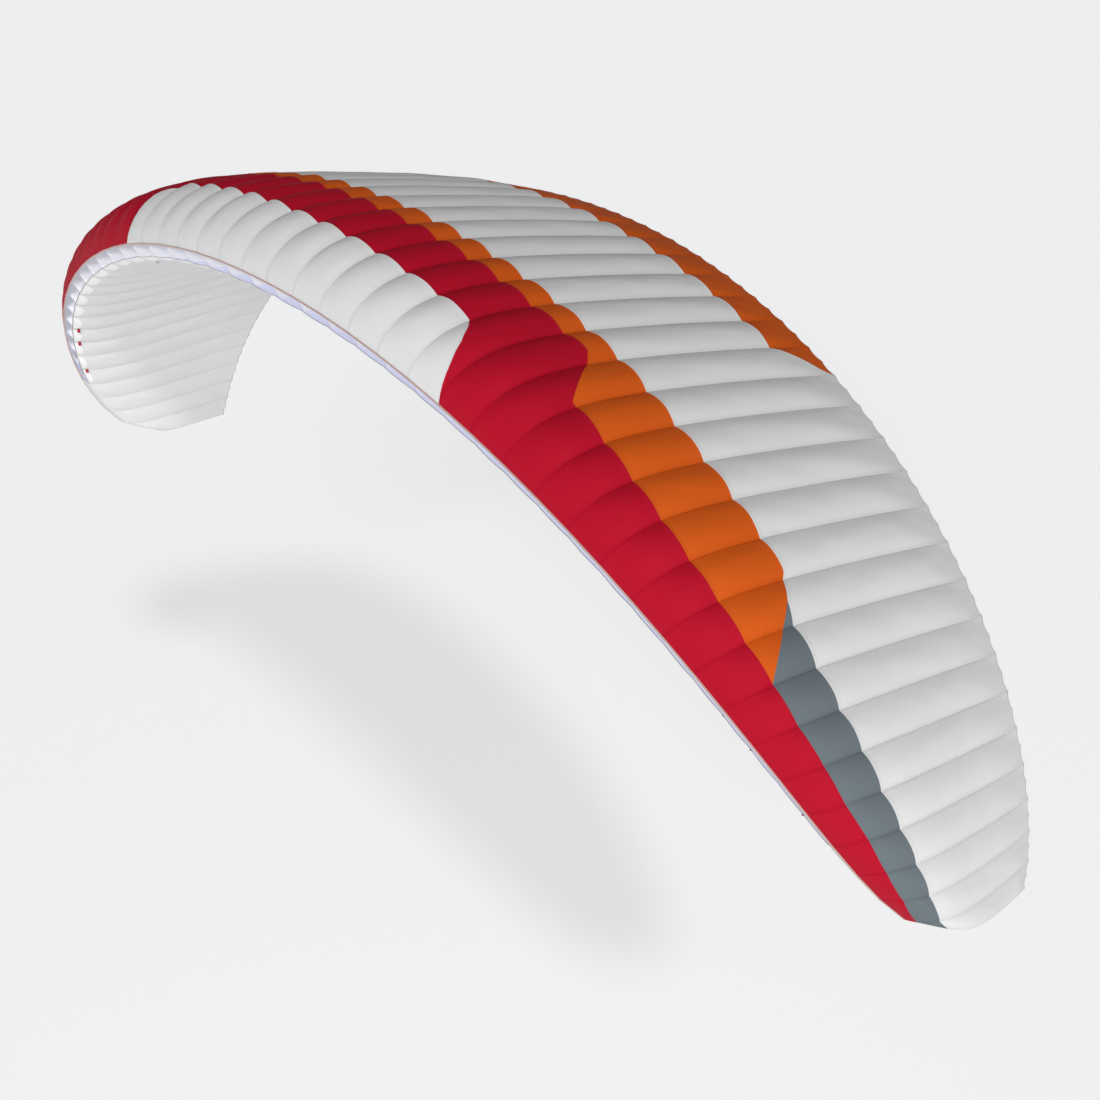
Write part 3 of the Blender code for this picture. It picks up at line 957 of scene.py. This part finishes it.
@dataclass
class NosePatches:
    """Padded patches behind the lower lip of the intakes, one on each open cell."""

    wing: Wing
    from_share: float = 0.0235
    side_share: float = 0.034
    middle_share: float = 0.057
    side_gap: float = 0.07
    puff: float = 0.0075
    sink: float = 0.0006
    squares: int = 10
    shape_power: float = 3.0
    puff_power: float = 4.0
    weave_length: float = 1.6  # of the weave along the chord, over the chord's
    seam_bias: float = 0.6
    cloth_length: float = 1.25  # of the curved cloth behind the lip, over its share of the chord

    def make(self, finish: Material) -> Piece:
        """Builds all the patches as one piece."""
        faces, steps = Faces(), np.linspace(0, 1, self.squares + 1)
        part = self.side_gap + (1 - 2 * self.side_gap) * steps
        off_middle = np.abs(2 * steps - 1)
        bow = 1 - off_middle**self.shape_power
        round_off = (1 - off_middle**self.puff_power)[:, None] * (1 - off_middle**self.puff_power)
        puff = self.sink + self.puff * round_off[..., None]
        end = self.side_share + (self.middle_share - self.side_share) * bow
        share = self.from_share + (end - self.from_share)[:, None] * steps
        for cell in OPEN_CELLS:
            points, facing = self.wing.surface(UNDER_FILL, cell, part, share)
            full, chord = self.wing.width(cell), self.wing.planes[cell].chord
            edge = np.minimum(steps, 1 - steps)[:, None] * full
            weave = part[:, None] * full, share * chord * self.weave_length
            # The patch's side edges stand where rib seams do in the maps, so the cloth's painted
            # shade darkens them too, standing in for the shadow between patches.
            maps = laid(*weave, edge, edge.T * self.seam_bias)
            outer, inner = points + facing * puff, points - facing * self.sink
            ThinSheet(outer, inner, maps, True).add_to(faces)
        piece = place_piece(faces.mesh("nose_patches"), [finish])
        chord = self.wing.form.centre_chord
        return piece


@dataclass
class CellRib:
    """One rib of cloth between the skins, with holes that let air pass from cell to cell."""

    wing: Wing
    number: int  # counted from the right tip
    stands_for: str | None = None
    thickness: float = 0.0012
    inset: float = 0.0017
    front: float = 0.0125  # how far behind the nose the rib starts, above the piping
    front_slant: float = 1.3
    lower_front: float = 0.030
    tail: float = 0.972
    stations: int = 26
    ports: tuple[tuple[float, float], ...] = (
        (0.11, 0.034), (0.21, 0.042), (0.33, 0.046), (0.46, 0.046), (0.59, 0.040),
    )  # fmt: skip
    port_height: float = 0.29  # half height of a hole over the rib's height there
    port_sides: int = 20
    from_seams: float = 0.5  # a distance that keeps the pucker, stitches and painted seam shade of seams off a rib

    def edge(self, start: float, side: Side) -> Array:
        """(along, above) points just inside one skin."""
        plane = self.wing.planes[self.number]
        share = np.linspace(math.sqrt(start), math.sqrt(self.tail), self.stations) ** 2
        along, above = plane.line(share, side)
        facing = plane.normal(share, side)
        above = above - facing @ plane.up * self.inset
        return np.stack((along - facing[:, 1] * self.inset, above), 1)

    def port(self, middle: float, reach: float) -> Array:
        """(along, above) points round one hole."""
        plane = self.wing.planes[self.number]
        (along, top), (_, bottom) = (plane.line(np.array(middle), side) for side in Side)
        turn = np.linspace(0, 2 * math.pi, self.port_sides, endpoint=False)
        above = (top + bottom) / 2 + (top - bottom) * self.port_height * np.sin(turn)
        return np.stack((along + reach * plane.chord * np.cos(turn), above), 1)

    def cut(self) -> tuple[Array, Array]:
        """The flat rib as points and triangles."""
        front = self.front / self.wing.planes[self.number].chord
        upper = self.edge(front, Side.UPPER)
        lower = self.edge(max(self.lower_front, self.front_slant * front), Side.UNDER)
        loops = [np.concatenate((upper, lower[::-1]))] + [self.port(*port) for port in self.ports]
        points, edges = [], []
        for loop in loops:
            first = len(points)
            points += [Vector(point) for point in loop]
            edges += [(first + one, first + (one + 1) % len(loop)) for one in range(len(loop))]
        spots, _, faces, *_ = delaunay_2d_cdt(points, edges, [], INSIDE_ONLY, SAME_SPOT)
        flat = np.array([tuple(spot) for spot in spots])
        cut = np.array(faces)
        centres = flat[cut].mean(1)
        kept = np.ones(len(cut), bool)
        for hole in loops[1:]:
            middle, half = (hole.min(0) + hole.max(0)) / 2, np.ptp(hole, 0) / 2
            kept &= (((centres - middle) / half) ** 2).sum(1) > 1
        return flat, cut[kept]

    def make(self, finish: Material) -> Piece:
        """Builds the rib."""
        plane, (flat, cut), faces = self.wing.planes[self.number], self.cut(), Faces()
        shift = {0: 1, CELLS: -1}.get(self.number, 0) * (self.thickness + self.inset)
        middle = plane.at(flat[:, 0], flat[:, 1])
        near, far = (
            middle + plane.across * (shift + side * self.thickness / 2) for side in (-1, 1)
        )
        far_off = np.full(flat.shape, self.from_seams)
        maps = np.concatenate((flat, far_off), 1)
        for points, order in ((near, [0, 2, 1, 1]), (far, [0, 1, 2, 2])):
            faces.add(points[cut[:, order]], maps[cut[:, order]])
        sides = np.concatenate([cut[:, [0, 1]], cut[:, [1, 2]], cut[:, [2, 0]]])
        _, index, count = np.unique(
            np.sort(sides, 1), axis=0, return_index=True, return_counts=True
        )
        start, end = sides[index[count == 1]].T
        quads = np.stack((near[start], near[end], far[end], far[start]), 1)
        faces.add(quads, maps[np.stack((start, end, end, start), 1)])
        mesh = faces.mesh(f"cell_rib_{self.number + 1:02d}")
        piece = place_piece(mesh, [finish])
        if self.stands_for:
            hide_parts(self.stands_for)
        return piece


def swept(name: str, rings: Array, finish: Material) -> Piece:
    """A closed cord through a row of rings, whose first and last points meet.

    Args:
        name: the piece's name.
        rings: the rings, (rings, sides + 1, 3).
        finish: its material.

    Returns:
        The piece.
    """
    faces, bare = Faces(), np.zeros((1, 4, 4))
    rings[:, -1] = rings[:, 0]
    turn, far = run_along(rings[0]), run_along(rings[:, 0])[:, None]
    corners = ThinSheet.corners
    faces.add(corners(rings), corners(laid(turn, far, turn, far)), flip=True)
    for end, order in ((0, [0, 1, 2, 2]), (-1, [0, 2, 1, 1])):
        middle = rings[end, :-1].mean(0)
        for start, stop in zip(rings[end], rings[end, 1:]):
            faces.add(np.array([middle, start, stop])[order][None], bare)
    return place_piece(faces.mesh(name), [finish])


@dataclass
class NosePiping:
    """The cord bound in tape along the upper lip, from tip to tip."""

    wing: Wing
    radius: float = 0.006
    drop: float = 0.0024
    sides: int = 14
    rings_a_cell: int = 4

    def make(self, finish: Material) -> Piece:
        """Builds the piping."""
        turn = np.linspace(0, 2 * math.pi, self.sides + 1)
        rings = []
        for plane in self.wing.planes:
            along, above = plane.line(np.array(LIP), Side.UPPER)
            middle = above - self.drop - self.radius
            ring = along + self.radius * np.cos(turn), middle + self.radius * np.sin(turn)
            rings.append(plane.at(*ring))
        blends = np.linspace(0, 1, self.rings_a_cell, endpoint=False)
        smooth = [a + (b - a) * blend for a, b in zip(rings, rings[1:]) for blend in blends]
        piece = swept("lip_piping", np.array([*smooth, rings[-1]]), finish)
        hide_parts("nose_piping")
        return piece


@dataclass
class EdgeHem:
    """A narrow binding tape folded over a free edge of the cloth. Its dark grey is painted shade,
    standing in for the shaded edge of the cloth.
    """

    wing: Wing
    name: str
    fill: Fill
    share: float
    cells: range
    ahead: float  # half of its depth along the chord
    above: float  # half of its thickness
    sink: float  # how far its middle lies under the outer face
    sides: int = 10

    def make(self, finish: Material) -> Piece:
        """Builds the hem."""
        turn = np.linspace(0, 2 * math.pi, self.sides + 1)[None, :, None]
        part, rings = self.fill.parts, []
        share = np.full((len(part), 1), self.share)
        for cell in self.cells:
            points, facing = self.wing.surface(self.fill, cell, part, share)
            forward = np.cross(facing[:, 0], self.wing.planes[cell].across)[:, None]
            ring = self.ahead * np.cos(turn) * forward + self.above * np.sin(turn) * facing
            rings.append((points - facing * self.sink + ring)[:-1])
        last = (points - facing * self.sink + ring)[-1:]
        return swept(self.name, np.concatenate([*rings, last]), finish)


@dataclass(frozen=True)
class LoopSize:
    """Sizes of one webbing loop sewn under a rib."""

    share: float
    webbing: float
    height: float
    dye: Dye
    slot: str


RED_LOOP = LoopSize(0.045, 0.020, 0.032, Dye.RED_WEBBING, "red_webbing")
LINE_LOOP = LoopSize(0.120, 0.014, 0.036, Dye.WHITE_WEBBING, "white_webbing")
LOOPS = (
    ("red", 1, 16, RED_LOOP), ("red", 2, 17, RED_LOOP), ("red", 3, 19, RED_LOOP),
    ("line", 1, 2, LINE_LOOP), ("line", 2, 5, LINE_LOOP), ("line", 3, 8, LINE_LOOP),
)  # fmt: skip


@dataclass
class WebbingLoop:
    """A loop of webbing under a rib, bar-tacked at its root, its eye along the chord."""

    wing: Wing
    rib: int  # counted out from the centre
    side: int  # 1 for the left half, -1 for the right
    size: LoopSize
    stations: tuple[float, ...] = (0.022, 0.07, 0.20, 0.45)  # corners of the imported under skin
    half_width: float = 0.007
    thickness: float = 0.0019
    stand_off: float = 0.0025
    corner: float = 0.0052
    corner_steps: int = 7
    leg_steps: int = 7
    pinch: float = 0.0012  # how far the legs draw in under the bar tack
    pinch_at: float = 0.006
    breadths: tuple[float, ...] = (-1, -0.94, -0.6, -0.2, 0.2, 0.6, 0.94, 1)
    edge_insets: tuple[float, ...] = (0.35, 0.06, 0, 0, 0, 0, 0.06, 0.35)
    tack_rows: int = 9
    tack_height: float = 0.0055
    tack_from: float = 0.0035
    tack_out: float = 0.0006  # how far the rows stand outside the legs, and take turns in length
    tack_short: float = 0.0012
    tack_sides: int = 8

    def line(self) -> tuple[Array, Array]:
        """Outline of the loop, root to root: (across, down), and which way it faces."""
        wide, low, corner = self.half_width, self.size.height, self.corner
        turn = np.linspace(0, math.pi / 2, self.corner_steps)
        across = -(wide - corner) - corner * np.cos(turn)
        bend = np.stack((across, -(low - corner) - corner * np.sin(turn)), 1)
        leg = np.linspace(0, low - corner, self.leg_steps)[:-1]
        draw = self.pinch * np.exp(-(((leg - self.pinch_at) / self.pinch_at) ** 2))
        left = np.concatenate((np.stack((-wide + draw, -leg), 1), bend))
        path = np.concatenate((left, left[::-1] * (-1, 1)))
        run = np.gradient(path, axis=0)
        run /= np.linalg.norm(run, axis=1, keepdims=True)
        return path, np.stack((run[:, 1], -run[:, 0]), 1)

    def frame(self) -> tuple[Array, Array, Array, Array]:
        """Root of the loop in space, and its across, along and outward directions."""
        plane = self.wing.planes[CELLS // 2 + (self.rib if self.side > 0 else 1 - self.rib)]
        share = self.size.share
        behind = max(station for station in self.stations if station <= share)
        ahead = min(station for station in self.stations if station > share)
        first, last = np.stack(plane.line(np.array((behind, ahead)), Side.UNDER), 1)
        run = (last - first) / np.linalg.norm(last - first)
        middle = first + (last - first) * (share - behind) / (ahead - behind)
        along = np.array((0, run[0], 0)) + plane.up * run[1]
        out = np.array((0, run[1], 0)) - plane.up * run[0]
        return plane.at(*middle)[0] + out * self.stand_off, plane.across, along, out

    def make(self, name: str, node: str, finish: Material) -> Piece:
        """Builds the loop and its bar tack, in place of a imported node."""
        root, across, along, out = self.frame()
        path, facing = self.line()
        breadth = self.size.webbing / 2 * np.array(self.breadths)[:, None]
        inset = np.array(self.edge_insets) * self.thickness
        sides = []
        for depth in (inset, self.thickness - inset):
            flat = path - facing * depth[:, None, None]
            spots = root + flat[..., :1] * across - flat[..., 1:] * out
            sides.append(spots + breadth[..., None] * along)
        faces, length = Faces(), run_along(path)
        ThinSheet(*sides, laid(breadth, length, breadth, length), True).add_to(faces)
        self.add_tack(faces, root, across, along, out)
        piece = place_piece(faces.mesh(name), [finish])
        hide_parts(node)
        return piece

    def add_tack(self, faces: Faces, root: Array, across: Array, along: Array, out: Array) -> None:
        """Adds the rows of thread that close the loop under the skin, as rounded bars across it."""
        turn = np.linspace(0, 2 * math.pi, self.tack_sides + 1)
        radius = self.tack_height / (2 * self.tack_rows)
        circle = radius * (np.cos(turn)[:, None] * across + np.sin(turn)[:, None] * out)
        circle[-1] = circle[0]
        fan = np.array([(0, one, one + 1, one + 1) for one in range(1, self.tack_sides - 1)])
        bare, corners = np.zeros((len(fan), 4, 4)), ThinSheet.corners
        width = self.half_width - self.pinch + self.tack_out
        for row in range(self.tack_rows):
            low = self.tack_from + (2 * row + 1) * radius
            end = self.size.webbing / 2 - self.tack_short - self.tack_out * (row % 2)
            far = np.array([[0.0], [2 * end]])
            maps = corners(laid(turn * radius, far, turn * radius, far))
            for side in (-1, 1):
                ring = root + out * low + across * side * width + circle
                bar = np.stack((ring - along * end, ring + along * end), 0)
                faces.add(corners(bar), maps, flip=True)
                for spots, flip in zip(bar, (False, True)):
                    faces.add(spots[fan], bare, flip=flip)


@dataclass(frozen=True)
class Lamp:
    """A distant soft light that shines from its place through the origin."""

    name: str
    place: Triple
    width: float  # how wide it is, seen from the wing, in radians
    power: float


@dataclass(frozen=True)
class Studio:
    """Floor, lights and camera."""

    floor_level: float = -9.0
    floor_size: float = 1600.0
    floor_glow: float = 0.46  # lights the floor evenly, as a light table does
    floor_grain: float = 0.97
    floor_roughness: float = 0.9
    eye: Triple = (12.08, -7.51, 4.58)
    aim: Triple = (0.019, 1.416, -2.275)
    lens: float = 76.96
    sensor: float = 36.0
    sight: float = 3000.0
    lamps: tuple[Lamp, ...] = (
        Lamp("key_light", (13.8, -12.2, 8.0), math.radians(12), 1.58),
        Lamp("side_light", (12.7, -6.6, 10.0), math.radians(4), 0.82),
    )
    sky: Triple = (0.93, 0.95, 1.0)
    sky_strength: float = 0.11
    haze_strength: float = 0.78
    haze: tuple[float, float] = (0.03, 0.15)  # sine of the height at which the pale band ends

    @staticmethod
    def aim_at(made: Piece, place: Triple, aim: Triple) -> None:
        """Puts an object at one point, looking at another."""
        made.location = place
        made.rotation_euler = (Vector(aim) - Vector(place)).to_track_quat("-Z", "Y").to_euler()

    def add_floor(self) -> None:
        """Adds the floor, pale with the faintest grain. It isn't part of the wing."""
        half = self.floor_size / 2
        corners = [(-half, -half, 0), (half, -half, 0), (half, half, 0), (-half, half, 0)]
        mesh = bpy.data.meshes.new("floor")
        mesh.from_pydata(corners, [], [(0, 1, 2, 3)])
        sheet = NodeSheet(bpy.data.materials.new("studio_floor"))
        grain = sheet.noise(sheet.where(), scale=40.0, detail=2.0)
        colour = sheet.mixed(grain, Dye.FLOOR.tinted(), Dye.FLOOR.tinted(self.floor_grain))
        finish = sheet.finish(
            Base_Color=colour,
            Roughness=self.floor_roughness,
            Emission_Color=(1.0, 1.0, 1.0, 1.0),
            Emission_Strength=self.floor_glow,
        )
        mesh.materials.append(finish)
        floor = add_object("floor", mesh)
        floor.location.z = self.floor_level

    def add_lights(self) -> None:
        """Adds the two soft lights and the even sky."""
        for lamp in self.lamps:
            data = bpy.data.lights.new(lamp.name, "SUN")
            data.angle, data.energy = lamp.width, lamp.power
            self.aim_at(add_object(lamp.name, data), lamp.place, (0.0, 0.0, 0.0))
        bpy.context.scene.world = self.made_sky()

    def made_sky(self) -> bpy.types.World:
        """An even sky that grows paler in a narrow band over the horizon."""
        world = bpy.data.worlds.new("studio")
        sheet = NodeSheet(world)
        height = sheet.parts(sheet.node("ShaderNodeTexCoord", {}, "Generated"))[2]
        haze, sky = (
            (*(channel * strength for channel in self.sky), 1)
            for strength in (self.haze_strength, self.sky_strength)
        )
        colour = sheet.mixed(sheet.eased(height, *self.haze), haze, sky)
        sheet.feed(colour, sheet.tree.nodes["Background"].inputs["Color"])
        return world

    def add_camera(self) -> None:
        """Adds the camera and makes it the scene's, which shows dyes in their plain colours."""
        data = bpy.data.cameras.new("camera")
        data.lens, data.sensor_width, data.clip_end = self.lens, self.sensor, self.sight
        camera = add_object("camera", data)
        self.aim_at(camera, self.eye, self.aim)
        bpy.context.scene.camera = camera
        bpy.context.scene.view_settings.view_transform = "Standard"


class ParagliderWing:
    """The whole wing."""

    def __init__(self) -> None:
        """Sets up the wing's shape and its finishes."""
        self.wing = Wing()
        self.finishes = Finishes()

    def make_skins(self) -> None:
        """Builds both skins, panel by panel, and the tapes and patches on them."""
        for fill, panels in ((UPPER_FILL, UPPER_PANELS), (UNDER_FILL, UNDER_PANELS)):
            for cut in panels:
                Skin(self.wing, fill, self.finishes).make_panel(cut)
        for seam, name, dye in SEAM_TAPES:
            SeamTape(self.wing, seam, name).make(self.finishes.cloth[dye])
        NosePatches(self.wing).make(self.finishes.cloth[Dye.PATCH_WHITE])

    def make_ribs(self) -> None:
        """Builds every rib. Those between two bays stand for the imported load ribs."""
        load_ribs = np.cumsum((0, *BAYS)).tolist()
        for number in range(CELLS + 1):
            node = f"load_rib_{load_ribs.index(number) + 1:02d}" if number in load_ribs else None
            CellRib(self.wing, number, node).make(self.finishes.rib)

    def make_trim(self) -> None:
        """Builds the piping, the hems and the webbing loops."""
        wing, tape = self.wing, self.finishes.tape
        NosePiping(wing).make(tape[Dye.PIPING])
        room = wing.foil.tail_room
        # Both hems are dark tapes whose colour is painted shade along the tail and the lower lip.
        for name, fill, share, cells, *sizes in (
            ("tail_hem", UPPER_FILL, 1.0, range(CELLS), 0.0040, 0.0032, room),
            ("lower_lip_hem", UNDER_FILL, LOWER_LIP, OPEN_CELLS, 0.0035, 0.0016, 0.0006),
        ):
            EdgeHem(wing, name, fill, share, cells, *sizes).make(tape[Dye.HEM])
        for side_name, side in (("right", -1), ("left", 1)):
            for kind, number, rib, size in LOOPS:
                name, node = (f"{kind}_{word}_{side_name}_{number}" for word in ("loop", "tab"))
                WebbingLoop(wing, rib, side, size).make(name, node, tape[size.dye])


def main() -> None:
    """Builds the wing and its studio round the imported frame."""
    logging.basicConfig(level=logging.INFO)
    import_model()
    wing = ParagliderWing()
    wing.make_skins()
    wing.make_ribs()
    wing.make_trim()
    studio = Studio()
    studio.add_floor()
    studio.add_lights()
    studio.add_camera()


if __name__ == "__main__":
    main()
